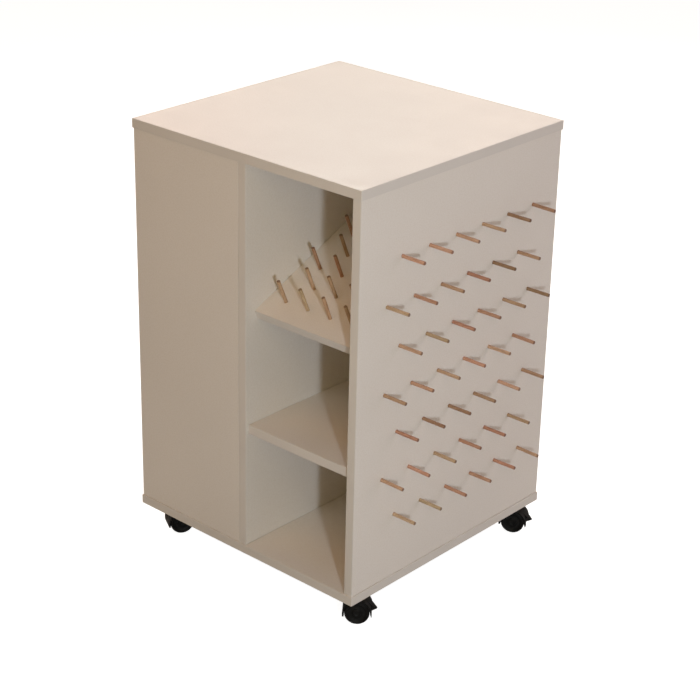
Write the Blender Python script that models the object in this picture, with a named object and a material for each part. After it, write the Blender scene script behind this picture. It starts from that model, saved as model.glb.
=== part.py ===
"""A rolling sewing table: a square melamine cabinet on four braked twin-wheel castors.

The right side carries rows of wooden pegs for thread spools. The front bay has a slanted shelf
with more pegs over two compartments. A wide shelved bay opens to the left and a narrow one to
the back. Units are metres, +Z is up, and the origin is on the floor under the centre of the
whole footprint, pegs included.
"""

import math

import bmesh
import bpy
from mathutils import Matrix, Vector

# Driving sizes
TOP_SIDE = 0.500
BODY_SIDE = 0.496
CARCASS_HEIGHT = 0.710
BOARD = 0.016
BAND = 0.001
CASTOR_HEIGHT = 0.0565
JOINT_GAP = 0.0003
EDGE_ROUND = 0.0005

# Side-panel pegs: a staggered grid, every other place filled in each row
PEG_RADIUS = 0.003
PEG_REACH = 0.045
PEG_SUNK = 0.010
PEG_TIP = 0.0008
PEG_SIDES = 8
SIDE_ROWS = 7
SIDE_PLACES = 12
SIDE_ROW_PITCH = 0.075
SIDE_PLACE_PITCH = 0.033

# Slanted spool shelf
SPOOL_TILT = math.radians(24)
SPOOL_FRONT_INSET = 0.020
SPOOL_FRONT_HEIGHT = 0.4405
SPOOL_LENGTH = 0.251
SPOOL_ROWS = 5
SPOOL_PLACES = 7
SPOOL_FIRST_ROW = 0.039
SPOOL_ROW_PITCH = 0.0435
SPOOL_PLACE_PITCH = 0.024
SPOOL_GRID_CENTRE = 0.116
SPOOL_PEG_SIDES = 10

# Level shelves
SHELF_TOPS = {"lower": 0.2415, "upper": 0.4660}
SHELF_INSET = 0.006
CROSS_WALL_FRONT = 0.008

# Castors
CASTOR_INSET = 0.212
SWIVELS = {
    "front_right": (1, -1, math.radians(39)),
    "back_right": (1, 1, math.radians(27)),
    "front_left": (-1, -1, math.radians(60)),
    "back_left": (-1, 1, math.radians(33)),
}
TRAIL = 0.0135
WHEEL_RADIUS = 0.021
WHEEL_WIDTH = 0.013
WHEEL_SIDES = 28
WEB_HALF = 0.0036
WHEEL_SIDE_GAP = 0.0004
AXLE_RADIUS = 0.003
AXLE_HALF = 0.0135
HUB_CAP = 0.0018
RUNNING_GAP = 0.00005
HOOD_RADIUS = 0.0245
HOOD_WALL = 0.0026
HOOD_HALF_WIDTH = 0.018
SKIRT_DROP = 0.006
FRONT_SKIRT_TIP = 0.0008
REAR_SKIRT_TIP = 0.0030
HOOD_SIDES = 30
BOSS_RADIUS = 0.010
BOSS_TOP = -0.003
BOSS_DEPTH = 0.019
PLATE_SIDE = 0.040
PLATE_THICK = 0.002
PLATE_CORNER = 0.005
SCREW_SPACING = 0.030
SCREW_HOLE = 0.00225
STEM_RADIUS = 0.004
STEM_END = -0.0155
PIN_SIDES = 20

# Brake lever: a beak that fills a slot in the hood's rear wall and flows on from the dome
PIVOT_RADIUS = 0.0238
PIVOT_ANGLE = math.radians(13)
LEVER_TOP_ANGLE = math.radians(44)
LEVER_BOTTOM_ANGLE = math.radians(6)
LEVER_BACK_RADIUS = 0.0223
LEVER_TIP = (0.0333, 0.0034)
LEVER_FOOT = 0.0012
LEVER_TIP_THICK = 0.0010
LEVER_HALF = 0.0075
LEVER_TIP_HALF = 0.0012
LEVER_SLOT_HALF = 0.0079
SLOT_INNER_RADIUS = 0.0208
SLOT_START = math.radians(-30)
SLOT_END = math.radians(46.5)
EAR_RADIUS = 0.0026
EAR_THICK = 0.0029
TRUNNION_RADIUS = 0.0010
TRUNNION_END = 0.0098

# Derived places
HALF_BODY = BODY_SIDE / 2
HALF_BOARD = BOARD / 2
CABINET_X = -(HALF_BODY + PEG_REACH - TOP_SIDE / 2) / 2
PANEL_LOW = BOARD + JOINT_GAP
PANEL_HIGH = CARCASS_HEIGHT - BOARD - JOINT_GAP
BAY_LOW_X = HALF_BOARD + JOINT_GAP
BAY_HIGH_X = HALF_BODY - BOARD - JOINT_GAP
WHEEL_CENTRE = Vector((TRAIL, 0, WHEEL_RADIUS - CASTOR_HEIGHT))
LEVER_PIVOT = WHEEL_CENTRE + PIVOT_RADIUS * Vector((math.cos(PIVOT_ANGLE), 0, math.sin(PIVOT_ANGLE)))

MELAMINE = ("white_melamine", (0.62, 0.56, 0.50), 0.45, 0.0)
EDGE_TAPE = ("edge_tape", (0.60, 0.54, 0.48), 0.40, 0.0)
BIRCH = ("birch_peg", (0.48, 0.27, 0.17), 0.60, 0.0)
NYLON = ("black_nylon", (0.012, 0.012, 0.012), 0.45, 0.0)
ZINC = ("zinc_plate", (0.45, 0.45, 0.46), 0.35, 1.0)


def clear_scene():
    for item in list(bpy.data.objects):
        bpy.data.objects.remove(item)


def material(spec):
    name, colour, roughness, metallic = spec
    found = bpy.data.materials.get(name)
    if found:
        return found
    made = bpy.data.materials.new(name)
    made.use_nodes = True
    shader = made.node_tree.nodes["Principled BSDF"]
    shader.inputs["Base Color"].default_value = (*colour, 1)
    shader.inputs["Roughness"].default_value = roughness
    shader.inputs["Metallic"].default_value = metallic
    made.diffuse_color = (*colour, 1)
    return made


def add_object(name, mesh, spec=None, parent=None, location=(0, 0, 0)):
    item = bpy.data.objects.new(name, mesh)
    bpy.context.scene.collection.objects.link(item)
    item.parent = parent
    item.location = location
    if spec:
        mesh.materials.clear()
        mesh.materials.append(material(spec))
    return item


def add_empty(name, parent=None, location=(0, 0, 0), turn=0.0):
    item = bpy.data.objects.new(name, None)
    bpy.context.scene.collection.objects.link(item)
    item.parent = parent
    item.location = location
    item.rotation_euler.z = turn
    return item


def finish_mesh(name, shape, smooth=False):
    """Turns a bmesh into a mesh, with round pieces shaded smooth."""
    bmesh.ops.recalc_face_normals(shape, faces=shape.faces)
    mesh = bpy.data.meshes.new(name)
    shape.to_mesh(mesh)
    shape.free()
    if smooth:
        shade_round(mesh)
    return mesh


def shade_round(mesh):
    mesh.shade_smooth()
    mesh.set_sharp_from_angle(angle=math.radians(35))


def box_mesh(name, low, high, rounding=0.0):
    shape = bmesh.new()
    bmesh.ops.create_cube(shape, size=1)
    low, high = Vector(low), Vector(high)
    for vert in shape.verts:
        vert.co = (low + high) / 2 + Vector(v * s for v, s in zip(vert.co, high - low))
    if rounding:
        bmesh.ops.bevel(shape, geom=shape.edges, offset=rounding, segments=1, affect="EDGES")
    return finish_mesh(name, shape)


def prism_mesh(name, outline, low, high, to_world, smooth=False):
    """Extrudes a flat outline from low to high, then turns it with to_world."""
    shape = bmesh.new()
    rings = [[shape.verts.new((x, y, z)) for x, y in outline] for z in (low, high)]
    shape.faces.new(rings[0])
    shape.faces.new(rings[1])
    count = len(outline)
    for i in range(count):
        j = (i + 1) % count
        shape.faces.new((rings[0][i], rings[0][j], rings[1][j], rings[1][i]))
    shape.transform(to_world)
    return finish_mesh(name, shape, smooth)


def circle(radius, sides, centre=(0.0, 0.0), start=0.0, turn=2 * math.pi):
    """Points round a circle, or along an arc with both of its ends."""
    closed = math.isclose(turn, 2 * math.pi)
    steps = sides if closed else sides - 1
    angles = [start + turn * i / steps for i in range(sides)]
    return [(centre[0] + radius * math.cos(a), centre[1] + radius * math.sin(a)) for a in angles]


# Prisms below are drawn in (x, z) and extruded along y: this maps their own frame to that one.
SIDE_VIEW = Matrix(((1, 0, 0), (0, 0, -1), (0, 1, 0))).to_4x4()


def side_cylinder(name, radius, half, centre=(0.0, 0.0), sides=PIN_SIDES, low=None):
    low = -half if low is None else low
    outline = circle(radius, sides, centre, start=-math.pi / 2)
    return prism_mesh(name, outline, low, half, SIDE_VIEW, smooth=True)


def upright_cylinder(name, radius, low, high, centre=(0.0, 0.0), sides=PIN_SIDES):
    return prism_mesh(name, circle(radius, sides, centre), low, high, Matrix.Identity(4), smooth=True)


def bore_radius(radius, sides):
    """The corner radius of a faceted bore whose flats clear a round pin by the running gap."""
    return (radius + RUNNING_GAP) / math.cos(math.pi / sides)


def combine(target, operation, *meshes):
    """Unites or cuts the target with each mesh in turn, and keeps the result as its own mesh."""
    bpy.context.view_layer.update()
    for mesh in meshes:
        tool = bpy.data.objects.new("tool", mesh)
        bpy.context.scene.collection.objects.link(tool)
        tool.matrix_world = target.matrix_world
        step = target.modifiers.new("step", "BOOLEAN")
        step.operation = operation
        step.object = tool
        bpy.context.view_layer.update()
        graph = bpy.context.evaluated_depsgraph_get()
        target.data = bpy.data.meshes.new_from_object(target.evaluated_get(graph))
        target.modifiers.clear()
        bpy.data.objects.remove(tool)


def joined_mesh(name, meshes):
    shape = bmesh.new()
    for mesh in meshes:
        shape.from_mesh(mesh)
    return finish_mesh(name, shape)


def board(name, low, high, cabinet):
    return add_object(name, box_mesh(name, low, high, EDGE_ROUND), MELAMINE, cabinet)


def peg_mesh(name, sides, reach, sunk):
    """A dowel along +Z with a chamfered tip. Its foot is below z = 0."""
    shape = bmesh.new()
    levels = [(-sunk, PEG_RADIUS), (reach - PEG_TIP, PEG_RADIUS), (reach, PEG_RADIUS - PEG_TIP)]
    rings = [
        [shape.verts.new((x, y, z)) for x, y in circle(radius, sides)] for z, radius in levels
    ]
    for lower, upper in zip(rings, rings[1:]):
        for i in range(sides):
            j = (i + 1) % sides
            shape.faces.new((lower[i], lower[j], upper[j], upper[i]))
    shape.faces.new(rings[0])
    shape.faces.new(rings[-1])
    return finish_mesh(name, shape, smooth=True)


def staggered(rows, places):
    """(row, place) of a grid in which each row fills every other place, odd rows the ones between."""
    return [(row, place) for row in range(rows) for place in range(row % 2, places, 2)]


def banded_board(name, low_z, cabinet):
    """A square board with a thin tape glued round its four edges."""
    half = TOP_SIDE / 2
    core = half - BAND - JOINT_GAP
    board(name, (-core, -core, low_z), (core, core, low_z + BOARD), cabinet)
    band_name = name.replace("board", "edge_band")
    outer = box_mesh(band_name, (-half, -half, low_z), (half, half, low_z + BOARD), EDGE_ROUND)
    band = add_object(band_name, outer, None, cabinet)
    inner = half - BAND
    hole = box_mesh("hole", (-inner, -inner, low_z - BOARD), (inner, inner, low_z + 2 * BOARD))
    combine(band, "DIFFERENCE", hole)
    band.data.materials.clear()
    band.data.materials.append(material(EDGE_TAPE))


def side_pegs():
    """The side panel's pegs, as one mesh that overlaps the panel."""
    pegs = []
    middle = CARCASS_HEIGHT / 2
    # Rows count down from the top one, whose first place is the second from the front.
    for row, place in staggered(SIDE_ROWS, SIDE_PLACES):
        y = (SIDE_PLACES - 1 - 2 * place) / 2 * SIDE_PLACE_PITCH
        z = middle + ((SIDE_ROWS - 1) / 2 - row) * SIDE_ROW_PITCH
        peg = peg_mesh("peg", PEG_SIDES, PEG_REACH, PEG_SUNK)
        peg.transform(Matrix.Translation((HALF_BODY, y, z)) @ Matrix.Rotation(math.pi / 2, 4, "Y"))
        pegs.append(peg)
    return joined_mesh("side_pegs", pegs)


def peg_panel(cabinet):
    low = (HALF_BODY - BOARD, -HALF_BODY, PANEL_LOW)
    high = (HALF_BODY, HALF_BODY, PANEL_HIGH)
    panel = board("right_peg_panel", low, high, cabinet)
    combine(panel, "UNION", side_pegs())


def carcass(cabinet):
    banded_board("bottom_board", 0.0, cabinet)
    banded_board("top_board", CARCASS_HEIGHT - BOARD, cabinet)
    peg_panel(cabinet)
    board(
        "centre_divider",
        (-HALF_BOARD, -HALF_BODY, PANEL_LOW),
        (HALF_BOARD, HALF_BODY, PANEL_HIGH),
        cabinet,
    )
    for name, low_y in (("front_left_panel", -HALF_BODY), ("back_left_panel", HALF_BODY - BOARD)):
        low = (-HALF_BODY, low_y, PANEL_LOW)
        high = (-BAY_LOW_X, low_y + BOARD, PANEL_HIGH)
        board(name, low, high, cabinet)
    low = (BAY_LOW_X, CROSS_WALL_FRONT, PANEL_LOW)
    high = (BAY_HIGH_X, CROSS_WALL_FRONT + BOARD, PANEL_HIGH)
    board("cross_wall", low, high, cabinet)


def level_shelf(name, x_span, y_span, top, cabinet):
    low = (x_span[0], y_span[0], top - BOARD)
    high = (x_span[1], y_span[1], top)
    board(name, low, high, cabinet)


def level_shelves(cabinet):
    shelf_edge = HALF_BODY - SHELF_INSET
    bay_x = (BAY_LOW_X, BAY_HIGH_X)
    front_y = (-shelf_edge, CROSS_WALL_FRONT - JOINT_GAP)
    level_shelf("front_bay_shelf", bay_x, front_y, SHELF_TOPS["lower"], cabinet)
    left_x = (-shelf_edge, -BAY_LOW_X)
    left_y = (-BAY_HIGH_X, BAY_HIGH_X)
    back_y = (CROSS_WALL_FRONT + BOARD + JOINT_GAP, shelf_edge)
    for level, top in SHELF_TOPS.items():
        level_shelf(f"left_bay_shelf_{level}", left_x, left_y, top, cabinet)
        level_shelf(f"back_bay_shelf_{level}", bay_x, back_y, top, cabinet)


def spool_shelf(cabinet):
    """The slanted shelf, modelled flat about its front top edge and then tilted, with its pegs."""
    front = (0, SPOOL_FRONT_INSET - HALF_BODY, SPOOL_FRONT_HEIGHT)
    shelf = board("spool_shelf", (BAY_LOW_X, 0, -BOARD), (BAY_HIGH_X, SPOOL_LENGTH, 0), cabinet)
    first_x = SPOOL_GRID_CENTRE - (SPOOL_PLACES - 1) / 2 * SPOOL_PLACE_PITCH
    places = [
        (first_x + place * SPOOL_PLACE_PITCH, SPOOL_FIRST_ROW + row * SPOOL_ROW_PITCH)
        for row, place in staggered(SPOOL_ROWS, SPOOL_PLACES)
    ]
    hole = bore_radius(PEG_RADIUS, SPOOL_PEG_SIDES)
    floor = -PEG_SUNK - JOINT_GAP
    holes = [
        upright_cylinder("hole", hole, floor, BOARD, place, SPOOL_PEG_SIDES) for place in places
    ]
    combine(shelf, "DIFFERENCE", joined_mesh("holes", holes))
    shelf.location = front
    shelf.rotation_euler.x = SPOOL_TILT
    peg = peg_mesh("spool_peg", SPOOL_PEG_SIDES, PEG_REACH, PEG_SUNK)
    for number, (x, y) in enumerate(places, 1):
        add_object(f"spool_peg_{number:02}", peg, BIRCH, shelf, (x, y, 0))


def castor_plate(name, mount):
    half = PLATE_SIDE / 2
    top = -JOINT_GAP
    corners = []
    for quarter in range(4):
        turn = quarter * math.pi / 2
        x = (half - PLATE_CORNER) * (1 if quarter in (0, 3) else -1)
        y = (half - PLATE_CORNER) * (1 if quarter in (0, 1) else -1)
        corners += circle(PLATE_CORNER, 5, (x, y), start=turn, turn=math.pi / 2)
    plate = add_object(
        name,
        prism_mesh(name, corners, top - PLATE_THICK, top, Matrix.Identity(4)),
        None,
        mount,
    )
    stem = upright_cylinder("stem", STEM_RADIUS, STEM_END, top - PLATE_THICK / 2)
    spots = [(sx * SCREW_SPACING / 2, sy * SCREW_SPACING / 2) for sx in (-1, 1) for sy in (-1, 1)]
    holes = [upright_cylinder("hole", SCREW_HOLE, -BOARD, BOARD, spot, 12) for spot in spots]
    combine(plate, "UNION", stem)
    combine(plate, "DIFFERENCE", joined_mesh("holes", holes))
    plate.data.materials.clear()
    plate.data.materials.append(material(ZINC))


def wheel_space(centre):
    """The hood's hollow in side view: round over the wheel, flaring to the skirts' thin ends."""
    hollow = HOOD_RADIUS - HOOD_WALL
    depth = 2 * SKIRT_DROP
    flare = (hollow - (HOOD_RADIUS - FRONT_SKIRT_TIP)) * depth / SKIRT_DROP
    rear = (hollow - (HOOD_RADIUS - REAR_SKIRT_TIP)) * depth / SKIRT_DROP
    return [
        (centre[0] + hollow - flare, centre[1] - depth),
        *circle(hollow, HOOD_SIDES // 2 + 1, centre, turn=math.pi),
        (centre[0] - hollow + rear, centre[1] - depth),
    ]


def hood_mesh():
    """The swivelling hood: a domed shell over both wheels, a web between them and a stem boss."""
    centre = (WHEEL_CENTRE.x, WHEEL_CENTRE.z)
    dome = circle(HOOD_RADIUS, HOOD_SIDES, centre, start=0, turn=math.pi)
    skirt_z = centre[1] - SKIRT_DROP
    outline = [
        (centre[0] + HOOD_RADIUS, skirt_z),
        *dome,
        (centre[0] - HOOD_RADIUS, skirt_z),
    ]
    half = HOOD_HALF_WIDTH
    hood = add_object("hood", prism_mesh("hood", outline, -half, half, SIDE_VIEW))
    boss = upright_cylinder("boss", BOSS_RADIUS, BOSS_TOP - BOSS_DEPTH, BOSS_TOP)
    combine(hood, "UNION", boss)
    pivot = (LEVER_PIVOT.x, LEVER_PIVOT.z)
    ear_start = LEVER_SLOT_HALF
    ears = [
        side_cylinder("ear", EAR_RADIUS, ear_start + EAR_THICK, pivot, low=ear_start),
        side_cylinder("ear", EAR_RADIUS, -ear_start, pivot, low=-ear_start - EAR_THICK),
    ]
    combine(hood, "UNION", joined_mesh("ears", ears))
    beyond = 2 * HOOD_HALF_WIDTH
    hollow = wheel_space(centre)
    cavities = [
        prism_mesh("cavity", hollow, WEB_HALF, beyond, SIDE_VIEW),
        prism_mesh("cavity", hollow, -beyond, -WEB_HALF, SIDE_VIEW),
    ]
    combine(hood, "DIFFERENCE", joined_mesh("cavities", cavities))
    slot_outline = [
        *circle(SLOT_INNER_RADIUS, 9, centre, SLOT_START, SLOT_END - SLOT_START),
        *circle(2 * HOOD_RADIUS, 9, centre, SLOT_END, SLOT_START - SLOT_END),
    ]
    slot = prism_mesh("slot", slot_outline, -LEVER_SLOT_HALF, LEVER_SLOT_HALF, SIDE_VIEW)
    axle_hole = side_cylinder("hole", bore_radius(AXLE_RADIUS, PIN_SIDES), beyond, centre)
    stem_floor = STEM_END - JOINT_GAP
    stem_hole = upright_cylinder("hole", bore_radius(STEM_RADIUS, PIN_SIDES), stem_floor, BOARD)
    pin_hole = side_cylinder("hole", bore_radius(TRUNNION_RADIUS, 12), TRUNNION_END, pivot, 12)
    combine(hood, "DIFFERENCE", slot, axle_hole, stem_hole, pin_hole)
    mesh = hood.data
    bpy.data.objects.remove(hood)
    shade_round(mesh)
    return mesh


def lever_mesh():
    """The brake lever about its pivot: a beak with a curved back, tapered in plan, and its pins."""
    pivot_x = PIVOT_RADIUS * math.cos(PIVOT_ANGLE)
    pivot_z = PIVOT_RADIUS * math.sin(PIVOT_ANGLE)
    centre = (-pivot_x, -pivot_z)
    sweep = LEVER_TOP_ANGLE - LEVER_BOTTOM_ANGLE
    tip_x = LEVER_TIP[0] - pivot_x
    tip_z = LEVER_TIP[1] - pivot_z
    shoulder = HOOD_RADIUS - pivot_x
    side = [
        (shoulder, LEVER_FOOT - pivot_z),
        (tip_x - LEVER_TIP_THICK / 2, tip_z - LEVER_TIP_THICK),
        (tip_x, tip_z),
        *circle(HOOD_RADIUS, 2, centre, LEVER_TOP_ANGLE, -math.radians(0.5)),
        *circle(LEVER_BACK_RADIUS, 8, centre, LEVER_TOP_ANGLE, -sweep),
    ]
    lever = add_object("lever", prism_mesh("lever", side, -LEVER_HALF, LEVER_HALF, SIDE_VIEW))
    plan = [
        (-HOOD_RADIUS, -2 * LEVER_HALF),
        (shoulder, -2 * LEVER_HALF),
        (shoulder, -LEVER_HALF),
        (tip_x, -LEVER_TIP_HALF),
        (2 * tip_x, -LEVER_TIP_HALF),
        (2 * tip_x, LEVER_TIP_HALF),
        (tip_x, LEVER_TIP_HALF),
        (shoulder, LEVER_HALF),
        (shoulder, 2 * LEVER_HALF),
        (-HOOD_RADIUS, 2 * LEVER_HALF),
    ]
    combine(lever, "INTERSECT", prism_mesh("plan", plan, -BOARD, BOARD, Matrix.Identity(4)))
    combine(lever, "UNION", side_cylinder("pins", TRUNNION_RADIUS, TRUNNION_END - JOINT_GAP, sides=12))
    mesh = lever.data
    bpy.data.objects.remove(lever)
    shade_round(mesh)
    return mesh


def wheel_mesh():
    """One wheel turned about y, from its inner face at y = 0 to its dished outer face.

    The bore is blind: the hub's end covers the axle.
    """
    bore = bore_radius(AXLE_RADIUS, WHEEL_SIDES)
    width = WHEEL_WIDTH
    hub_end = width - 0.0008
    outline = [
        (bore, 0.0),
        (WHEEL_RADIUS - 0.0012, 0.0),
        (WHEEL_RADIUS, 0.0012),
        (WHEEL_RADIUS, width - 0.0022),
        (WHEEL_RADIUS - 0.0006, width - 0.0008),
        (WHEEL_RADIUS - 0.0020, width),
        (WHEEL_RADIUS - 0.0040, width - 0.0003),
        (WHEEL_RADIUS - 0.0055, width - 0.0030),
        (0.0078, width - 0.0036),
        (0.0064, hub_end),
    ]
    shape = bmesh.new()
    rings = []
    for i in range(WHEEL_SIDES):
        angle = 2 * math.pi * i / WHEEL_SIDES
        turned = [(*point, angle) for point in (*outline, (bore, hub_end - HUB_CAP))]
        rings.append([shape.verts.new((r * math.sin(a), y, -r * math.cos(a))) for r, y, a in turned])
    last = len(outline) - 1
    for ring, after in zip(rings, rings[1:] + rings[:1]):
        for i in range(last):
            shape.faces.new((ring[i], ring[i + 1], after[i + 1], after[i]))
        shape.faces.new((ring[-1], ring[0], after[0], after[-1]))
    shape.faces.new([ring[last] for ring in rings])
    shape.faces.new([ring[-1] for ring in rings])
    return finish_mesh("wheel", shape, smooth=True)


def castor(corner, cabinet, meshes):
    x_sign, y_sign, turn = SWIVELS[corner]
    place = (x_sign * CASTOR_INSET, y_sign * CASTOR_INSET, 0)
    mount = add_empty(f"{corner}_mount", cabinet, place)
    castor_plate(f"{corner}_castor_plate", mount)
    swivel = add_empty(f"{corner}_swivel", mount, turn=turn)
    add_object(f"{corner}_castor_hood", meshes["hood"], NYLON, swivel)
    add_object(f"{corner}_axle", meshes["axle"], ZINC, swivel, WHEEL_CENTRE)
    inner = WEB_HALF + WHEEL_SIDE_GAP
    add_object(
        f"{corner}_wheel_a", meshes["wheel"], NYLON, swivel, WHEEL_CENTRE + Vector((0, inner, 0))
    )
    other = add_object(
        f"{corner}_wheel_b", meshes["wheel"], NYLON, swivel, WHEEL_CENTRE - Vector((0, inner, 0))
    )
    other.rotation_euler.z = math.pi
    add_object(f"{corner}_brake_lever", meshes["lever"], NYLON, swivel, LEVER_PIVOT)


def main():
    clear_scene()
    cabinet = add_empty("cabinet", location=(CABINET_X, 0, CASTOR_HEIGHT))
    bpy.context.view_layer.update()
    carcass(cabinet)
    level_shelves(cabinet)
    spool_shelf(cabinet)
    meshes = {
        "hood": hood_mesh(),
        "lever": lever_mesh(),
        "wheel": wheel_mesh(),
        "axle": side_cylinder("axle", AXLE_RADIUS, AXLE_HALF),
    }
    for corner in SWIVELS:
        castor(corner, cabinet, meshes)


main()
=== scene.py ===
"""Looks for the rolling sewing table: melamine boards with taped edges, wooden pegs and nylon castors.

Units are metres. Board places come from the CAD frame; the details below repeat a few of its sizes.
"""

import math
import random

import bmesh
import bpy
from mathutils import Matrix, Vector


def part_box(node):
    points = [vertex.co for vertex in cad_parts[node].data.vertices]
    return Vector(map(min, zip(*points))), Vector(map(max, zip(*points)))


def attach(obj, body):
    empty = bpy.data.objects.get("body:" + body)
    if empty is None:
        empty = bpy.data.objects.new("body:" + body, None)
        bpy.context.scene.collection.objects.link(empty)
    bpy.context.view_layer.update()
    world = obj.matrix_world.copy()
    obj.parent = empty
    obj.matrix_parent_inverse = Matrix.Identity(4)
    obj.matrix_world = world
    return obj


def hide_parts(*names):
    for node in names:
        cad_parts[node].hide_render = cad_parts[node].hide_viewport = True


# Sizes shared with the CAD model
CASTOR_HEIGHT = 0.0565
BOARD = 0.016
JOINT_GAP = 0.0003
PEG_RADIUS = 0.003
PEG_REACH = 0.045
PEG_SUNK = 0.0095
SIDE_ROWS = 7
SIDE_PLACES = 12
SIDE_ROW_PITCH = 0.075
SIDE_PLACE_PITCH = 0.033
SPOOL_TILT = math.radians(24)
SPOOL_LENGTH = 0.251
SPOOL_ROWS = 5
SPOOL_PLACES = 7
SPOOL_FIRST_ROW = 0.039
SPOOL_ROW_PITCH = 0.0435
SPOOL_PLACE_PITCH = 0.024
SPOOL_GRID_SHIFT = -0.004
SWIVELS = {
    "front_right": math.radians(39),
    "back_right": math.radians(27),
    "front_left": math.radians(60),
    "back_left": math.radians(33),
}
TRAIL = 0.0135
WHEEL_RADIUS = 0.021
WHEEL_WIDTH = 0.013
WEB_HALF = 0.0036
WHEEL_SIDE_GAP = 0.0004
AXLE_RADIUS = 0.003
AXLE_HALF = 0.0135
HUB_CAP = 0.0018
HOOD_RADIUS = 0.0245
HOOD_WALL = 0.0026
HOOD_HALF_WIDTH = 0.018
SKIRT_DROP = 0.006
FRONT_SKIRT_TIP = 0.0008
REAR_SKIRT_TIP = 0.0030
BOSS_RADIUS = 0.010
BOSS_TOP = -0.003
BOSS_DEPTH = 0.019
PLATE_SIDE = 0.040
PLATE_THICK = 0.002
PLATE_CORNER = 0.005
SCREW_SPACING = 0.030
SCREW_HOLE = 0.00225
STEM_RADIUS = 0.004
STEM_END = -0.0155
PIVOT_RADIUS = 0.0238
PIVOT_ANGLE = math.radians(13)
LEVER_TOP_ANGLE = math.radians(44)
LEVER_BOTTOM_ANGLE = math.radians(6)
LEVER_BACK_RADIUS = 0.0223
LEVER_TIP = (0.0333, 0.0034)
LEVER_FOOT = 0.0012
LEVER_TIP_THICK = 0.0010
LEVER_HALF = 0.0075
LEVER_TIP_HALF = 0.0012
LEVER_SLOT_HALF = 0.0079
SLOT_INNER_RADIUS = 0.0208
SLOT_START = math.radians(-30)
SLOT_END = math.radians(46.5)
EAR_RADIUS = 0.0026
EAR_THICK = 0.0029
TRUNNION_RADIUS = 0.0010
TRUNNION_END = 0.0098

# Details that only the looks have
TAPE = 0.0013
TAPE_PROUD = 0.0002
TAPE_ROUND = 0.0006
ARRIS = 0.0005
PEG_HOLE_GAP = 0.00025
PEG_HOLE_SPARE = 0.0005
PEG_TILT_SPREAD = math.radians(0.8)
PEG_TIP_ROUND = 0.0008
PEG_SHORT = 0.0001
BORE_GAP = 0.00006
OVERLAP = 0.001
RACE_RADIUS = 0.0092
RACE_DEPTH = 0.0005
SCREW_HEAD_DEPTH = 0.0022
SCREW_SHANK = 0.0018
CROSS_HALF = 0.0021
CROSS_HALF_WIDTH = 0.0004
CROSS_DEPTH = 0.0011
GROOVE_PLACE = 0.0064
GROOVE_HALF = 0.0004
GROOVE_DEPTH = 0.0003
DISH_DEPTH = 0.0037
HUB_INSET = 0.0008
HUB_RADIUS = 0.0061
HUB_DIMPLE = 0.0044
RIDGE_COUNT = 3
RIDGE_START = 0.50
RIDGE_STEP = 0.12
RIDGE_HALF_LENGTH = 0.0044
RIDGE_TAPER = 0.0008
RIDGE_HALF_WIDTH = 0.0005
RIDGE_SUNK = 0.0006
RIDGE_PROUD = 0.0004

WHEEL_CENTRE = Vector((TRAIL, 0, WHEEL_RADIUS - CASTOR_HEIGHT))
LEVER_PIVOT = WHEEL_CENTRE + PIVOT_RADIUS * Vector((math.cos(PIVOT_ANGLE), 0, math.sin(PIVOT_ANGLE)))

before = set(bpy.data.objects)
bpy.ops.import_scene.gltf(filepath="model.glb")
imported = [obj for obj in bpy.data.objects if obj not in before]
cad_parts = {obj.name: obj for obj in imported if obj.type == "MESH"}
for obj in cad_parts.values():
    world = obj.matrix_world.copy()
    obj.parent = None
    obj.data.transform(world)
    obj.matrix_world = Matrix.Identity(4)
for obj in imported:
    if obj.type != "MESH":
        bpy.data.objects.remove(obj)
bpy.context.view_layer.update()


# ---------------------------------------------------------------- materials


def start_material(name, roughness, metallic=0.0, specular=0.5):
    made = bpy.data.materials.new(name)
    made.use_nodes = True
    shader = made.node_tree.nodes["Principled BSDF"]
    shader.inputs["Roughness"].default_value = roughness
    shader.inputs["Metallic"].default_value = metallic
    shader.inputs["Specular IOR Level"].default_value = specular
    return made, made.node_tree, shader


def add_node(tree, kind, sockets=None, **settings):
    """A node with its settings and sockets filled; a socket may be given another node's output."""
    node = tree.nodes.new(kind)
    for key, value in settings.items():
        setattr(node, key, value)
    for key, value in (sockets or {}).items():
        if isinstance(value, bpy.types.NodeSocket):
            tree.links.new(value, node.inputs[key])
        else:
            node.inputs[key].default_value = value
    return node


def object_coordinates(tree, scale=(1, 1, 1), shift=None):
    coordinates = add_node(tree, "ShaderNodeTexCoord").outputs["Object"]
    mapping = add_node(tree, "ShaderNodeMapping", {"Vector": coordinates, "Scale": scale})
    if shift is not None:
        tree.links.new(shift, mapping.inputs["Location"])
    return mapping.outputs["Vector"]


def noise(tree, vector, scale, detail=2.0, roughness=0.5, distortion=0.0):
    sockets = {
        "Vector": vector,
        "Scale": scale,
        "Detail": detail,
        "Roughness": roughness,
        "Distortion": distortion,
    }
    return add_node(tree, "ShaderNodeTexNoise", sockets).outputs["Fac"]


def ramp(tree, factor, stops):
    node = add_node(tree, "ShaderNodeValToRGB", {"Fac": factor})
    elements = node.color_ramp.elements
    while len(elements) < len(stops):
        elements.new(0.5)
    for element, (place, colour) in zip(elements, stops):
        element.position = place
        element.color = (*colour, 1)
    return node.outputs["Color"]


def mix_colour(tree, factor, first, second, mode="MIX"):
    node = add_node(tree, "ShaderNodeMix", data_type="RGBA", blend_type=mode)
    for key, value in ((0, factor), (6, first), (7, second)):
        if isinstance(value, bpy.types.NodeSocket):
            tree.links.new(value, node.inputs[key])
        elif key == 0:
            node.inputs[key].default_value = value
        else:
            node.inputs[key].default_value = (*value, 1)
    return node.outputs[2]


def remap(tree, value, low, high, from_low=0.0, from_high=1.0):
    sockets = {
        "Value": value,
        "From Min": from_low,
        "From Max": from_high,
        "To Min": low,
        "To Max": high,
    }
    return add_node(tree, "ShaderNodeMapRange", sockets).outputs["Result"]


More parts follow.
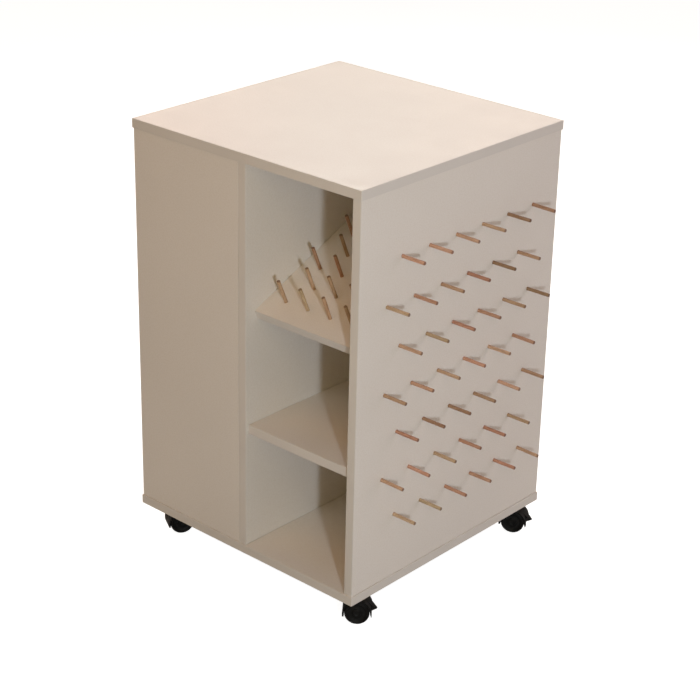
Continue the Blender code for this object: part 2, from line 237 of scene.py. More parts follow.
def bump(tree, height, strength, distance, normal=None):
    sockets = {"Height": height, "Strength": strength, "Distance": distance}
    if normal is not None:
        sockets["Normal"] = normal
    return add_node(tree, "ShaderNodeBump", sockets).outputs["Normal"]


def dim(colour, share):
    return tuple(c * share for c in colour)


def melamine_material(name, colour, roughness, pebble):
    """Printed melamine: a fine pebbled skin with faint clouding and hand marks in its gloss."""
    made, tree, shader = start_material(name, roughness)
    vector = object_coordinates(tree)
    clouds = noise(tree, vector, 3.5, detail=3)
    flecks = noise(tree, vector, 420, detail=2)
    base = ramp(tree, clouds, [(0.3, dim(colour, 0.965)), (0.7, colour)])
    fleck = ramp(tree, flecks, [(0.35, (0.965, 0.955, 0.94)), (0.6, (1, 1, 1))])
    tree.links.new(mix_colour(tree, 1.0, base, fleck, "MULTIPLY"), shader.inputs["Base Color"])
    marks = noise(tree, vector, 16, detail=5, roughness=0.65, distortion=0.6)
    gloss = remap(tree, marks, roughness - 0.06, roughness + 0.10, 0.35, 0.70)
    tree.links.new(gloss, shader.inputs["Roughness"])
    skin = noise(tree, vector, 1100, detail=2)
    waves = noise(tree, vector, 45, detail=2)
    coarse = bump(tree, waves, 0.10, 0.0004)
    tree.links.new(bump(tree, skin, pebble, 0.0002, coarse), shader.inputs["Normal"])
    return made


def tape_material(colour):
    """Edge tape: smoother than the boards, with faint lines along it from rolling."""
    made, tree, shader = start_material("edge_tape", 0.36)
    vector = object_coordinates(tree)
    clouds = noise(tree, vector, 9, detail=2)
    base = ramp(tree, clouds, [(0.3, dim(colour, 0.955)), (0.7, colour)])
    tree.links.new(base, shader.inputs["Base Color"])
    fine = noise(tree, object_coordinates(tree, scale=(600, 600, 600)), 1.0, detail=3)
    tree.links.new(remap(tree, fine, 0.30, 0.46), shader.inputs["Roughness"])
    tree.links.new(bump(tree, fine, 0.10, 0.0001), shader.inputs["Normal"])
    return made


def peg_material():
    """Sanded dowel: grain along the peg's own Z, a tone and a warmth of its own, dark end grain."""
    made, tree, shader = start_material("peg_wood", 0.48)
    tone = add_node(tree, "ShaderNodeAttribute", attribute_name="tone").outputs["Fac"]
    warmth = add_node(tree, "ShaderNodeAttribute", attribute_name="warmth").outputs["Fac"]
    offset = add_node(tree, "ShaderNodeCombineXYZ", {"X": tone, "Y": tone, "Z": tone})
    far = add_node(
        tree,
        "ShaderNodeVectorMath",
        {0: offset.outputs["Vector"], 1: (7.3, 3.1, 5.7)},
        operation="MULTIPLY",
    )
    grain_vector = object_coordinates(tree, (900, 900, 45), far.outputs["Vector"])
    grain = noise(tree, grain_vector, 1.0, detail=5, roughness=0.6, distortion=0.4)
    pores = noise(tree, object_coordinates(tree, (3200, 3200, 260)), 1.0, detail=2)
    timber = ramp(
        tree,
        tone,
        [
            (0.0, (0.31, 0.145, 0.085)),
            (0.5, (0.54, 0.325, 0.222)),
            (1.0, (0.68, 0.445, 0.32)),
        ],
    )
    streaks = ramp(tree, grain, [(0.28, (0.62, 0.55, 0.50)), (0.62, (1.06, 1.04, 1.02))])
    dark_pores = ramp(tree, pores, [(0.30, (0.72, 0.66, 0.62)), (0.42, (1, 1, 1))])
    cast = ramp(tree, warmth, [(0.0, (0.90, 1.09, 0.97)), (1.0, (1.06, 0.90, 0.89))])
    timber = mix_colour(tree, 1.0, timber, cast, "MULTIPLY")
    along = add_node(tree, "ShaderNodeSeparateXYZ", {"Vector": object_coordinates(tree)}).outputs["Z"]
    at_end = remap(tree, along, 0.0, 0.6, PEG_REACH - 0.0010, PEG_REACH - 0.0002)
    timber = mix_colour(tree, at_end, timber, (0.10, 0.052, 0.03))
    streaked = mix_colour(tree, 1.0, timber, streaks, "MULTIPLY")
    tree.links.new(
        mix_colour(tree, 1.0, streaked, dark_pores, "MULTIPLY"), shader.inputs["Base Color"]
    )
    tree.links.new(remap(tree, grain, 0.38, 0.58), shader.inputs["Roughness"])
    tree.links.new(bump(tree, grain, 0.25, 0.0002), shader.inputs["Normal"])
    return made


def nylon_material(name, colour, roughness, dust):
    """Moulded nylon: spark-eroded micro texture, with floor dust that gathers in patches."""
    made, tree, shader = start_material(name, roughness, specular=0.25)
    vector = object_coordinates(tree)
    patches = noise(tree, vector, 70, detail=5, roughness=0.7)
    cover = remap(tree, patches, 0.0, dust, 0.52, 0.78)
    dusty = mix_colour(tree, cover, colour, (0.16, 0.145, 0.125))
    tree.links.new(dusty, shader.inputs["Base Color"])
    tree.links.new(remap(tree, patches, roughness - 0.06, roughness + 0.14), shader.inputs["Roughness"])
    skin = noise(tree, vector, 2600, detail=2)
    tree.links.new(bump(tree, skin, 0.18, 0.00015), shader.inputs["Normal"])
    return made


def steel_material():
    """Zinc plating: a soft spangle under fine brush marks."""
    made, tree, shader = start_material("zinc_steel", 0.34, metallic=1.0)
    vector = object_coordinates(tree)
    spangle = noise(tree, vector, 160, detail=3)
    colour = ramp(tree, spangle, [(0.3, (0.44, 0.44, 0.45)), (0.7, (0.60, 0.60, 0.61))])
    tree.links.new(colour, shader.inputs["Base Color"])
    brushed = noise(tree, object_coordinates(tree, (2400, 160, 2400)), 1.0, detail=2)
    tree.links.new(remap(tree, brushed, 0.26, 0.46), shader.inputs["Roughness"])
    tree.links.new(bump(tree, brushed, 0.12, 0.0001), shader.inputs["Normal"])
    return made


def floor_material():
    """Pale floor, drawn a little brighter than it lights the cabinet, so its bounce stays soft."""
    made, tree, shader = start_material("studio_floor", 0.62, specular=0.2)
    clouds = noise(tree, object_coordinates(tree), 0.8, detail=2)
    colour = ramp(tree, clouds, [(0.3, (0.49, 0.49, 0.49)), (0.7, (0.51, 0.51, 0.51))])
    tree.links.new(colour, shader.inputs["Base Color"])
    seen = add_node(tree, "ShaderNodeLightPath").outputs["Is Camera Ray"]
    lift = remap(tree, seen, 0.0, 0.92)
    shader.inputs["Emission Color"].default_value = (1.0, 1.0, 1.0, 1)
    tree.links.new(lift, shader.inputs["Emission Strength"])
    return made


# ---------------------------------------------------------------- mesh helpers


def to_mesh(name, shape):
    bmesh.ops.recalc_face_normals(shape, faces=shape.faces)
    mesh = bpy.data.meshes.new(name)
    shape.to_mesh(mesh)
    shape.free()
    return mesh


def piece(name, mesh, mats, slot, body, nodes=(), place=None):
    """Adds a finished piece in the row frame, riding on its body and standing for its CAD nodes."""
    item = bpy.data.objects.new(name, mesh)
    bpy.context.scene.collection.objects.link(item)
    if place is not None:
        item.matrix_world = place
    mesh.materials.clear()
    mesh.materials.append(mats[slot])
    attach(item, body)
    if nodes:
        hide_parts(*nodes)
    return item


def soften(item, width):
    """Rounds sharp edges, and weights the normals so that flat faces stay flat."""
    item.data.shade_smooth()
    bevel = item.modifiers.new("soft_edges", "BEVEL")
    bevel.width = width
    bevel.segments = 2
    bevel.limit_method = "ANGLE"
    bevel.angle_limit = math.radians(30)
    bevel.harden_normals = False
    weighted = item.modifiers.new("flat_faces", "WEIGHTED_NORMAL")
    weighted.weight = 80


def shade_round(mesh, crease):
    mesh.shade_smooth()
    mesh.set_sharp_from_angle(angle=math.radians(crease))
    return mesh


def box_mesh(name, low, high):
    shape = bmesh.new()
    bmesh.ops.create_cube(shape, size=1)
    low, high = Vector(low), Vector(high)
    for vert in shape.verts:
        vert.co = (low + high) / 2 + Vector(v * s for v, s in zip(vert.co, high - low))
    return to_mesh(name, shape)


def prism_mesh(name, outline, low, high, turn):
    """Extrudes an outline of (x, y) points along Z, then turns it."""
    shape = bmesh.new()
    rings = [[shape.verts.new((x, y, z)) for x, y in outline] for z in (low, high)]
    shape.faces.new(rings[0])
    shape.faces.new(rings[1])
    count = len(outline)
    for i in range(count):
        j = (i + 1) % count
        shape.faces.new((rings[0][i], rings[0][j], rings[1][j], rings[1][i]))
    shape.transform(turn)
    return to_mesh(name, shape)


def circle(radius, sides, centre=(0.0, 0.0), start=0.0, turn=2 * math.pi):
    """Points on a circle, or on an arc of it that starts and ends on a point."""
    closed = math.isclose(turn, 2 * math.pi)
    steps = sides if closed else sides - 1
    angles = [start + turn * i / steps for i in range(sides)]
    return [(centre[0] + radius * math.cos(a), centre[1] + radius * math.sin(a)) for a in angles]


# Side views are drawn in (x, z) and extruded along y.
SIDE_VIEW = Matrix(((1, 0, 0), (0, 0, -1), (0, 1, 0))).to_4x4()
LEVEL = Matrix.Identity(4)


def lathe_mesh(name, profile, sides, axis=LEVEL):
    """Turns a profile of (radius, height) about Z, with flat caps on its two ends."""
    shape = bmesh.new()
    rings = []
    for i in range(sides):
        angle = 2 * math.pi * i / sides
        c, s = math.cos(angle), math.sin(angle)
        rings.append([shape.verts.new((r * c, r * s, z)) for r, z in profile])
    for ring, after in zip(rings, rings[1:] + rings[:1]):
        for i in range(len(profile) - 1):
            shape.faces.new((ring[i], after[i], after[i + 1], ring[i + 1]))
    shape.faces.new([ring[0] for ring in rings])
    shape.faces.new([ring[-1] for ring in rings])
    shape.transform(axis)
    return to_mesh(name, shape)


def rod_mesh(name, radius, low, high, sides, axis=LEVEL):
    return lathe_mesh(name, [(radius, low), (radius, high)], sides, axis)


def combined(mesh, operation, *others):
    """The mesh united with or cut by the others."""
    target = bpy.data.objects.new("target", mesh)
    bpy.context.scene.collection.objects.link(target)
    for other in others:
        tool = bpy.data.objects.new("tool", other)
        bpy.context.scene.collection.objects.link(tool)
        step = target.modifiers.new("step", "BOOLEAN")
        step.operation = operation
        step.object = tool
        graph = bpy.context.evaluated_depsgraph_get()
        target.data = bpy.data.meshes.new_from_object(target.evaluated_get(graph))
        target.modifiers.clear()
        bpy.data.objects.remove(tool)
    result = target.data
    bpy.data.objects.remove(target)
    return result


def joined_mesh(name, meshes):
    shape = bmesh.new()
    for mesh in meshes:
        shape.from_mesh(mesh)
    return to_mesh(name, shape)


# ---------------------------------------------------------------- boards

AXES = {"left": (0, -1), "right": (0, 1), "front": (1, -1), "back": (1, 1)}


def board_solids(low, high, taped):
    """The core box and its tape boxes: a taped face moves in by the tape's thickness."""
    low, high = Vector(low), Vector(high)
    core_low, core_high = low.copy(), high.copy()
    tapes = {}
    for side in taped:
        axis, sign = AXES[side]
        strip_low, strip_high = low.copy(), high.copy()
        if sign < 0:
            core_low[axis] += TAPE
            strip_low[axis] -= TAPE_PROUD
            strip_high[axis] = low[axis] + TAPE
        else:
            core_high[axis] -= TAPE
            strip_high[axis] += TAPE_PROUD
            strip_low[axis] = high[axis] - TAPE
        tapes[side] = (strip_low, strip_high)
    return (core_low, core_high), tapes


def dress_board(node, taped, mats, span=None, place=None, cut=None, stands_for=()):
    """Replaces a CAD board by a softened core and separate strips of edge tape."""
    low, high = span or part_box(node)
    core, tapes = board_solids(low, high, taped)
    mesh = box_mesh(f"{node}_core", *core)
    if cut is not None:
        mesh = combined(mesh, "DIFFERENCE", cut)
    item = piece(f"{node}_core", mesh, mats, "melamine", "cabinet", (node,), place)
    soften(item, ARRIS)
    for side, strip in tapes.items():
        name = f"{node}_tape_{side}"
        mesh = box_mesh(name, *strip)
        tape = piece(name, mesh, mats, "edge_tape", "cabinet", stands_for, place)
        soften(tape, TAPE_ROUND)


def square_board(node, band, mats):
    """The top or bottom board with its four tapes, which stand for the CAD edge band."""
    low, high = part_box(band)
    inset = Vector((TAPE_PROUD, TAPE_PROUD, 0))
    span = (low + inset, high - inset)
    dress_board(node, AXES, mats, span, stands_for=(band,))


def staggered(rows, places):
    """The filled places of a peg grid: every other one, shifted by one from row to row."""
    return [(row, place) for row in range(rows) for place in range(row % 2, places, 2)]


def side_peg_places():
    """The centres of the side pegs on the panel's outer face."""
    low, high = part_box("centre_divider")
    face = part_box("right_peg_panel")[0].x + BOARD
    middle = (low + high) / 2
    for row, place in staggered(SIDE_ROWS, SIDE_PLACES):
        y = middle.y + (SIDE_PLACES - 1 - 2 * place) / 2 * SIDE_PLACE_PITCH
        z = middle.z + ((SIDE_ROWS - 1) / 2 - row) * SIDE_ROW_PITCH
        yield Vector((face, y, z))


def spool_peg_places():
    """The pegs' places on the slanted shelf, in its own flat frame."""
    low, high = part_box("spool_shelf")
    width = high.x - low.x
    first = width / 2 + SPOOL_GRID_SHIFT - (SPOOL_PLACES - 1) / 2 * SPOOL_PLACE_PITCH
    for row, place in staggered(SPOOL_ROWS, SPOOL_PLACES):
        yield Vector((first + place * SPOOL_PLACE_PITCH, SPOOL_FIRST_ROW + row * SPOOL_ROW_PITCH, 0))


def spool_frame():
    """From the slanted shelf's own frame, whose origin is its left front top corner, to the row's."""
    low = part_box("spool_shelf")[0]
    corner = Vector((low.x, low.y, low.z + BOARD * math.cos(SPOOL_TILT)))
    return Matrix.Translation(corner) @ Matrix.Rotation(SPOOL_TILT, 4, "X")


def hole_mesh(places):
    """The cutter for the drilled holes, a little wider and deeper than the pegs."""
    radius = PEG_RADIUS + PEG_HOLE_GAP
    holes = []
    for place in places:
        hole = rod_mesh("hole", radius, -PEG_SUNK - PEG_HOLE_SPARE, BOARD, 24)
        hole.transform(place)
        holes.append(hole)
    return joined_mesh("holes", holes)


# ---------------------------------------------------------------- pegs


def peg_mesh(name, looks, radius):
    """A dowel with a rounded tip, holding its looks as attributes that its material reads."""
    tip = PEG_TIP_ROUND
    reach = PEG_REACH - PEG_SHORT
    profile = [
        (radius, -PEG_SUNK),
        (radius, 0),
        (radius, reach - tip),
        (radius - tip * 0.3, reach - tip * 0.3),
        (radius - tip, reach),
        (radius * 0.4, reach),
    ]
    mesh = lathe_mesh(name, profile, 24)
    for key, value in looks.items():
        mesh.attributes.new(key, "FLOAT", "POINT")
        mesh.attributes[key].data.foreach_set("value", [value] * len(mesh.vertices))
    return shade_round(mesh, 50)


def add_peg(name, place, mats, chance, nodes=()):
    """A peg hammered in by hand: its lean, girth and colour vary a little."""
    looks = {
        "tone": min(1.0, max(0.0, chance.gauss(0.5, 0.22))),
        "warmth": chance.random(),
    }
    radius = PEG_RADIUS * chance.uniform(0.985, 1.01)
    lean = Matrix.Rotation(chance.uniform(-1, 1) * PEG_TILT_SPREAD, 4, "X")
    lean @= Matrix.Rotation(chance.uniform(-1, 1) * PEG_TILT_SPREAD, 4, "Y")
    turn = Matrix.Rotation(chance.uniform(0, 2 * math.pi), 4, "Z")
    mesh = peg_mesh(name, looks, radius)
    piece(name, mesh, mats, "peg_wood", "cabinet", nodes, place @ lean @ turn)


def pegs(mats):
    chance = random.Random(19)
    outward = Matrix.Rotation(math.pi / 2, 4, "Y")
    for number, place in enumerate(side_peg_places(), 1):
        at = Matrix.Translation(place) @ outward
        add_peg(f"side_peg_{number:02}", at, mats, chance)
    tilted = spool_frame()
    for number, place in enumerate(spool_peg_places(), 1):
        at = tilted @ Matrix.Translation(place)
        nodes = (f"spool_peg_{number:02}",)
        add_peg(f"shelf_peg_{number:02}", at, mats, chance, nodes)


# ---------------------------------------------------------------- castors


def wheel_space():
    """The hood's hollow in side view: round over the wheel, flaring to the skirts' thin ends."""
    centre = (WHEEL_CENTRE.x, WHEEL_CENTRE.z)
    hollow = HOOD_RADIUS - HOOD_WALL
    front = (HOOD_RADIUS - FRONT_SKIRT_TIP - hollow) * 2
    rear = (HOOD_RADIUS - REAR_SKIRT_TIP - hollow) * 2
    return [
        (centre[0] + hollow + front, centre[1] - 2 * SKIRT_DROP),
        *circle(hollow, 48, centre, turn=math.pi),
        (centre[0] - hollow - rear, centre[1] - 2 * SKIRT_DROP),
    ]


def brake_ears():
    """The two ears inside the lever's slot, which carry its pins."""
    axis = Matrix.Translation(LEVER_PIVOT) @ SIDE_VIEW
    starts = (LEVER_SLOT_HALF, -LEVER_SLOT_HALF - EAR_THICK)
    ears = [rod_mesh("ear", EAR_RADIUS, low, low + EAR_THICK, 32, axis) for low in starts]
    return joined_mesh("ears", ears)


def hood_cutters():
    """What is cut from the hood: the wheels' two hollows, the lever's slot, the axle and stem holes."""
    centre = (WHEEL_CENTRE.x, WHEEL_CENTRE.z)
    beyond = 2 * HOOD_HALF_WIDTH
    hollow = wheel_space()
    cavities = [
        prism_mesh("cavity", hollow, WEB_HALF, beyond, SIDE_VIEW),
        prism_mesh("cavity", hollow, -beyond, -WEB_HALF, SIDE_VIEW),
    ]
    slot_outline = [
        *circle(SLOT_INNER_RADIUS, 17, centre, SLOT_START, SLOT_END - SLOT_START),
        *circle(2 * HOOD_RADIUS, 9, centre, SLOT_END, SLOT_START - SLOT_END),
    ]
    slot = prism_mesh("slot", slot_outline, -LEVER_SLOT_HALF, LEVER_SLOT_HALF, SIDE_VIEW)
    axis = Matrix.Translation(WHEEL_CENTRE) @ SIDE_VIEW
    axle = rod_mesh("axle", AXLE_RADIUS + BORE_GAP, -beyond, beyond, 32, axis)
    stem = rod_mesh("stem", STEM_RADIUS + BORE_GAP, STEM_END - JOINT_GAP, beyond, 32)
    return joined_mesh("cavities", cavities), slot, axle, stem


def hood_mesh():
    """The swivelling hood: dome, web, stem boss and the slot for the brake lever."""
    centre = (WHEEL_CENTRE.x, WHEEL_CENTRE.z)
    skirt_z = centre[1] - SKIRT_DROP
    outline = [
        (centre[0] + HOOD_RADIUS, skirt_z),
        *circle(HOOD_RADIUS, 64, centre, turn=math.pi),
        (centre[0] - HOOD_RADIUS, skirt_z),
    ]
    dome = prism_mesh("hood", outline, -HOOD_HALF_WIDTH, HOOD_HALF_WIDTH, SIDE_VIEW)
    boss = rod_mesh("boss", BOSS_RADIUS, BOSS_TOP - BOSS_DEPTH, BOSS_TOP, 48)
    solid = combined(dome, "UNION", boss, brake_ears())
    return combined(solid, "DIFFERENCE", *hood_cutters())


def wheel_mesh():
    """A wheel turned about its axle: a grooved tread, a dished outer face and a closed, stepped hub."""
    radius = WHEEL_RADIUS
    outer = WHEEL_WIDTH
    bore = AXLE_RADIUS + BORE_GAP
    hub = outer - HUB_INSET
    dish = outer - DISH_DEPTH
    floor = radius - GROOVE_DEPTH
    profile = [
        (bore, hub - HUB_CAP),
        (bore, 0.0),
        # inner edge of the tread
        (radius - 0.0012, 0.0),
        (radius - 0.0004, 0.0003),
        (radius, 0.0012),
        # groove round the tread
        (radius, GROOVE_PLACE - GROOVE_HALF),
        (floor, GROOVE_PLACE - GROOVE_HALF / 2),
        (floor, GROOVE_PLACE + GROOVE_HALF / 2),
        (radius, GROOVE_PLACE + GROOVE_HALF),
        # rounded outer edge and raised rim
        (radius, outer - 0.0024),
        (radius - 0.0003, outer - 0.0014),
        (radius - 0.0008, outer - 0.0006),
        (radius - 0.0015, outer - 0.0001),
        (radius - 0.0022, outer),
        (radius - 0.0034, outer - 0.0001),
        (radius - 0.0041, outer - 0.0007),
        # dish
        (radius - 0.0054, dish + 0.0008),
        (radius - 0.0064, dish + 0.0004),
        (HUB_RADIUS + 0.0024, dish),
        (HUB_RADIUS + 0.0015, dish + 0.0004),
        # hub, with a shallow dimple in its end
        (HUB_RADIUS + 0.0007, hub - 0.0005),
        (HUB_RADIUS, hub),
        (HUB_DIMPLE + 0.0003, hub),
        (HUB_DIMPLE, hub - 0.0003),
        (0.0020, hub - 0.0003),
    ]
    mesh = lathe_mesh("wheel", profile, 72, SIDE_VIEW.inverted())
    return shade_round(mesh, 50)


def lever_ridges(crest, tip):
    """Grip ridges across the beak's upper face, shorter towards its tip."""
    slope = tip - crest
    turn = Matrix.Rotation(-math.atan2(slope.y, slope.x), 4, "Y")
    ridges = []
    for number in range(RIDGE_COUNT):
        spot = crest + (RIDGE_START + number * RIDGE_STEP) * slope
        half = RIDGE_HALF_LENGTH - number * RIDGE_TAPER
        low = (-RIDGE_HALF_WIDTH, -half, -RIDGE_SUNK)
        high = (RIDGE_HALF_WIDTH, half, RIDGE_PROUD)
        ridge = box_mesh("ridge", low, high)
        ridge.transform(Matrix.Translation((spot.x, 0, spot.y)) @ turn)
        ridges.append(ridge)
    return joined_mesh("ridges", ridges)


def lever_mesh():
    """The brake lever about its pivot: a beak that flows on from the dome, with grip ridges."""
    pivot_x = PIVOT_RADIUS * math.cos(PIVOT_ANGLE)
    pivot_z = PIVOT_RADIUS * math.sin(PIVOT_ANGLE)
    centre = (-pivot_x, -pivot_z)
    sweep = LEVER_TOP_ANGLE - LEVER_BOTTOM_ANGLE
    tip_x = LEVER_TIP[0] - pivot_x
    tip_z = LEVER_TIP[1] - pivot_z
    shoulder = HOOD_RADIUS - pivot_x
    side = [
        (shoulder, LEVER_FOOT - pivot_z),
        (tip_x - LEVER_TIP_THICK / 2, tip_z - LEVER_TIP_THICK),
        (tip_x, tip_z),
        *circle(HOOD_RADIUS, 2, centre, LEVER_TOP_ANGLE, -math.radians(0.5)),
        *circle(LEVER_BACK_RADIUS, 17, centre, LEVER_TOP_ANGLE, -sweep),
    ]
    beak = prism_mesh("beak", side, -LEVER_HALF, LEVER_HALF, SIDE_VIEW)
    plan = [
        (-HOOD_RADIUS, -2 * LEVER_HALF),
        (shoulder, -2 * LEVER_HALF),
        (shoulder, -LEVER_HALF),
        (tip_x, -LEVER_TIP_HALF),
        (2 * tip_x, -LEVER_TIP_HALF),
        (2 * tip_x, LEVER_TIP_HALF),
        (tip_x, LEVER_TIP_HALF),
        (shoulder, LEVER_HALF),
        (shoulder, 2 * LEVER_HALF),
        (-HOOD_RADIUS, 2 * LEVER_HALF),
    ]
    beak = combined(beak, "INTERSECT", prism_mesh("plan", plan, -BOARD, BOARD, LEVEL))
    ridges = lever_ridges(Vector(side[3]), Vector((tip_x, tip_z)))
    end = TRUNNION_END - JOINT_GAP
    pins = rod_mesh("pins", TRUNNION_RADIUS, -end, end, 20, SIDE_VIEW)
    return combined(beak, "UNION", pins, ridges)


def screw_places():
    half = SCREW_SPACING / 2
    return [(sx * half, sy * half) for sx in (-1, 1) for sy in (-1, 1)]


def plate_mesh():
    """The top plate with its ball race and kingpin, drilled for four screws."""
    half = PLATE_SIDE / 2 - PLATE_CORNER
    top = -JOINT_GAP
    outline = []
    for quarter in range(4):
        x = half * (1 if quarter in (0, 3) else -1)
        y = half * (1 if quarter in (0, 1) else -1)
        outline += circle(PLATE_CORNER, 12, (x, y), quarter * math.pi / 2, math.pi / 2)
    plate = prism_mesh("plate", outline, top - PLATE_THICK, top, LEVEL)
    race = rod_mesh("race", RACE_RADIUS, top - PLATE_THICK - RACE_DEPTH, top - OVERLAP, 48)
    stem = rod_mesh("stem", STEM_RADIUS, STEM_END, top - OVERLAP, 32)
    holes = []
    for x, y in screw_places():
        hole = rod_mesh("hole", SCREW_HOLE, -PLATE_SIDE, PLATE_SIDE, 24)
        hole.transform(Matrix.Translation((x, y, 0)))
        holes.append(hole)
    solid = combined(plate, "UNION", race, stem)
    return combined(solid, "DIFFERENCE", joined_mesh("holes", holes))


def screw_mesh():
    """A pan-head screw, head down, with a cross recess."""
    under = -JOINT_GAP - PLATE_THICK
    crown = under - SCREW_HEAD_DEPTH
    profile = [
        (0.0004, crown),
        (0.0020, crown + 0.0003),
        (0.0034, crown + 0.0011),
        (0.0038, crown + 0.0021),
        (SCREW_SHANK, under),
        (SCREW_SHANK, -JOINT_GAP - 0.0001),
    ]
    head = lathe_mesh("screw", profile, 32)
    low, high = crown - OVERLAP, crown + CROSS_DEPTH
    bars = []
    for x, y in ((CROSS_HALF, CROSS_HALF_WIDTH), (CROSS_HALF_WIDTH, CROSS_HALF)):
        bars.append(box_mesh("bar", (-x, -y, low), (x, y, high)))
    return shade_round(combined(head, "DIFFERENCE", *bars), 40)


def castor(corner, meshes, mats):
    """All the pieces of one castor, each with its own copy of the mesh that the four share."""
    low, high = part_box(f"{corner}_castor_plate")
    centre = (low + high) / 2
    mount = Matrix.Translation((centre.x, centre.y, CASTOR_HEIGHT))
    swivel = mount @ Matrix.Rotation(SWIVELS[corner], 4, "Z")
    hub = swivel @ Matrix.Translation(WHEEL_CENTRE)
    pivot = swivel @ Matrix.Translation(LEVER_PIVOT)

    def add(name, mesh, slot, body, place, node=None):
        nodes = (f"{corner}_{node}",) if node else ()
        return piece(f"{corner}_{name}", meshes[mesh].copy(), mats, slot, body, nodes, place)

    plate = add("plate", "plate", "zinc_steel", "cabinet", mount, "castor_plate")
    soften(plate, 0.0003)
    for number, (x, y) in enumerate(screw_places(), 1):
        turn = Matrix.Rotation(0.7 * number, 4, "Z")
        at = mount @ Matrix.Translation((x, y, 0)) @ turn
        add(f"screw_{number}", "screw", "zinc_steel", "cabinet", at)
    hood = add("hood", "hood", "castor_nylon", f"{corner}_swivel", swivel, "castor_hood")
    soften(hood, 0.0005)
    axle = add("axle_pin", "axle", "zinc_steel", f"{corner}_swivel", hub, "axle")
    soften(axle, 0.0004)
    beside = Matrix.Translation((0, WEB_HALF + WHEEL_SIDE_GAP, 0))
    for letter, turn in (("a", 0.0), ("b", math.pi)):
        at = hub @ Matrix.Rotation(turn, 4, "Z") @ beside
        body = f"{corner}_wheel_{letter}"
        add(f"wheel_{letter}_tread", "wheel", "wheel_nylon", body, at, f"wheel_{letter}")
    lever = add("lever", "lever", "castor_nylon", f"{corner}_brake", pivot, "brake_lever")
    soften(lever, 0.0003)


def castors(mats):
    meshes = {
        "plate": plate_mesh(),
        "screw": screw_mesh(),
        "hood": hood_mesh(),
        "wheel": wheel_mesh(),
        "lever": lever_mesh(),
        "axle": rod_mesh("axle", AXLE_RADIUS, -AXLE_HALF, AXLE_HALF, 32, SIDE_VIEW),
    }
    for corner in SWIVELS:
        castor(corner, meshes, mats)


# ---------------------------------------------------------------- studio


def camera():
    azimuth = math.radians(41.476)
    elevation = math.radians(24.265)
    roll = math.radians(1.336)
    data = bpy.data.cameras.new("camera")
    data.lens = 95.97
    data.sensor_width = 36
    data.clip_end = 50
    item = bpy.data.objects.new("camera", data)
    bpy.context.scene.collection.objects.link(item)
    place = Matrix.Translation((1.9286, -2.1909, 1.6751))
    turn = Matrix.Rotation(azimuth, 4, "Z") @ Matrix.Rotation(math.pi / 2 - elevation, 4, "X")
    item.matrix_world = place @ turn @ Matrix.Rotation(roll, 4, "Z")
    bpy.context.scene.camera = item


def area_light(name, place, target, size, power, colour):
    """A round soft lamp of the given diameter and power, aimed at a target."""
    data = bpy.data.lights.new(name, "AREA")
    data.shape = "DISK"
    data.size = size
    data.energy = power
    data.color = colour
    item = bpy.data.objects.new(name, data)
    bpy.context.scene.collection.objects.link(item)
    place, target = Vector(place), Vector(target)
    aim = (target - place).to_track_quat("-Z", "Y").to_matrix().to_4x4()
    item.matrix_world = Matrix.Translation(place) @ aim


def surroundings():
    """Faint warm light from all round, drawn as a pale wall where the camera sees past the floor."""
    world = bpy.data.worlds.new("studio")
    world.use_nodes = True
    bpy.context.scene.world = world
    tree = world.node_tree
    background = tree.nodes["Background"]
    background.inputs["Color"].default_value = (1.0, 0.68, 0.40, 1)
    background.inputs["Strength"].default_value = 0.125
    pale = add_node(tree, "ShaderNodeBackground", {"Color": (0.97, 0.97, 0.97, 1)})
    seen = add_node(tree, "ShaderNodeLightPath").outputs["Is Camera Ray"]
    mixed = add_node(tree, "ShaderNodeMixShader", {0: seen})
    tree.links.new(background.outputs[0], mixed.inputs[1])
    tree.links.new(pale.outputs[0], mixed.inputs[2])
    tree.links.new(mixed.outputs[0], tree.nodes["World Output"].inputs["Surface"])


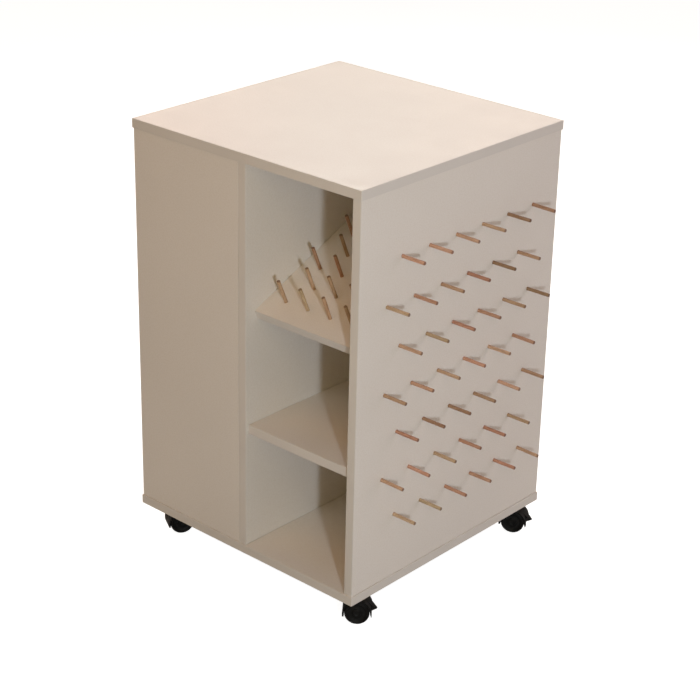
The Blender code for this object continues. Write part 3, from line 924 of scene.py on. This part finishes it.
def studio():
    surroundings()
    middle = (0.0, 0.0, 0.40)
    area_light("key", (2.07, -1.73, 1.03), middle, 0.13, 21.9, (0.818, 0.915, 1.0))
    area_light("camera_fill", (1.8, -2.1, 1.7), (0.0, 0.0, 0.35), 2.2, 11.2, (1.0, 0.911, 0.477))
    area_light("front_fill", (0.0, -1.5, 2.2), (0.0, 0.0, 0.50), 1.8, 9.1, (1.0, 0.596, 0.346))
    area_light("overhead", (0.0, 0.0, 2.4), (0.0, 0.0, 0.0), 1.6, 7.2, (0.221, 0.552, 1.0))
    area_light("top_glow", (-0.9, 0.9, 1.7), (-0.1, 0.1, 0.70), 0.6, 3.3, (0.849, 1.0, 0.928))
    area_light("rear_fill", (-0.8, 2.2, 2.2), (0.0, 0.0, 0.70), 2.2, 37.2, (1.0, 0.861, 0.725))
    area_light("left_fill", (-2.2, 0.8, 1.8), (0.0, 0.0, 0.50), 2.2, 26.8, (1.0, 0.781, 0.642))
    area_light("right_fill", (1.9, 2.3, 1.55), middle, 3.0, 29.0, (1.0, 0.888, 0.953))
    floor = bpy.data.objects.new("floor", box_mesh("floor", (-12, -12, -0.05), (12, 12, 0)))
    bpy.context.scene.collection.objects.link(floor)
    floor.data.materials.append(floor_material())
    bpy.context.scene.view_settings.view_transform = "Standard"


def materials():
    """One material for each slot."""
    board_colour = (0.80, 0.745, 0.69)
    return {
        "melamine": melamine_material("melamine", board_colour, 0.42, 0.16),
        "edge_tape": tape_material(dim(board_colour, 0.90)),
        "peg_wood": peg_material(),
        "castor_nylon": nylon_material("castor_nylon", (0.003, 0.003, 0.003), 0.45, 0.03),
        "wheel_nylon": nylon_material("wheel_nylon", (0.004, 0.004, 0.004), 0.55, 0.08),
        "zinc_steel": steel_material(),
    }


def boards(mats):
    """Dresses every board of the cabinet, with tape on the edges listed beside its name."""
    square_board("bottom_board", "bottom_edge_band", mats)
    square_board("top_board", "top_edge_band", mats)
    for node in ("front_left_panel", "back_left_panel"):
        low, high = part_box(node)
        dress_board(node, ("left",), mats, (low, high - Vector((JOINT_GAP, 0, 0))))
    for node, taped in (
        ("centre_divider", ("front", "back")),
        ("cross_wall", ()),
        ("front_bay_shelf", ("front",)),
        ("back_bay_shelf_lower", ("back",)),
        ("back_bay_shelf_upper", ("back",)),
        ("left_bay_shelf_lower", ("left",)),
        ("left_bay_shelf_upper", ("left",)),
    ):
        dress_board(node, taped, mats)
    low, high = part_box("right_peg_panel")
    outward = Matrix.Rotation(math.pi / 2, 4, "Y")
    side_holes = hole_mesh([Matrix.Translation(place) @ outward for place in side_peg_places()])
    span = (low, Vector((low.x + BOARD, high.y, high.z)))
    dress_board("right_peg_panel", ("front", "back"), mats, span, cut=side_holes)
    shelf_low, shelf_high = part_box("spool_shelf")
    span = (Vector((0, 0, -BOARD)), Vector((shelf_high.x - shelf_low.x, SPOOL_LENGTH, 0)))
    shelf_holes = hole_mesh([Matrix.Translation(place) for place in spool_peg_places()])
    dress_board("spool_shelf", ("front",), mats, span, spool_frame(), cut=shelf_holes)


def main():
    mats = materials()
    camera()
    studio()
    boards(mats)
    pegs(mats)
    castors(mats)


main()
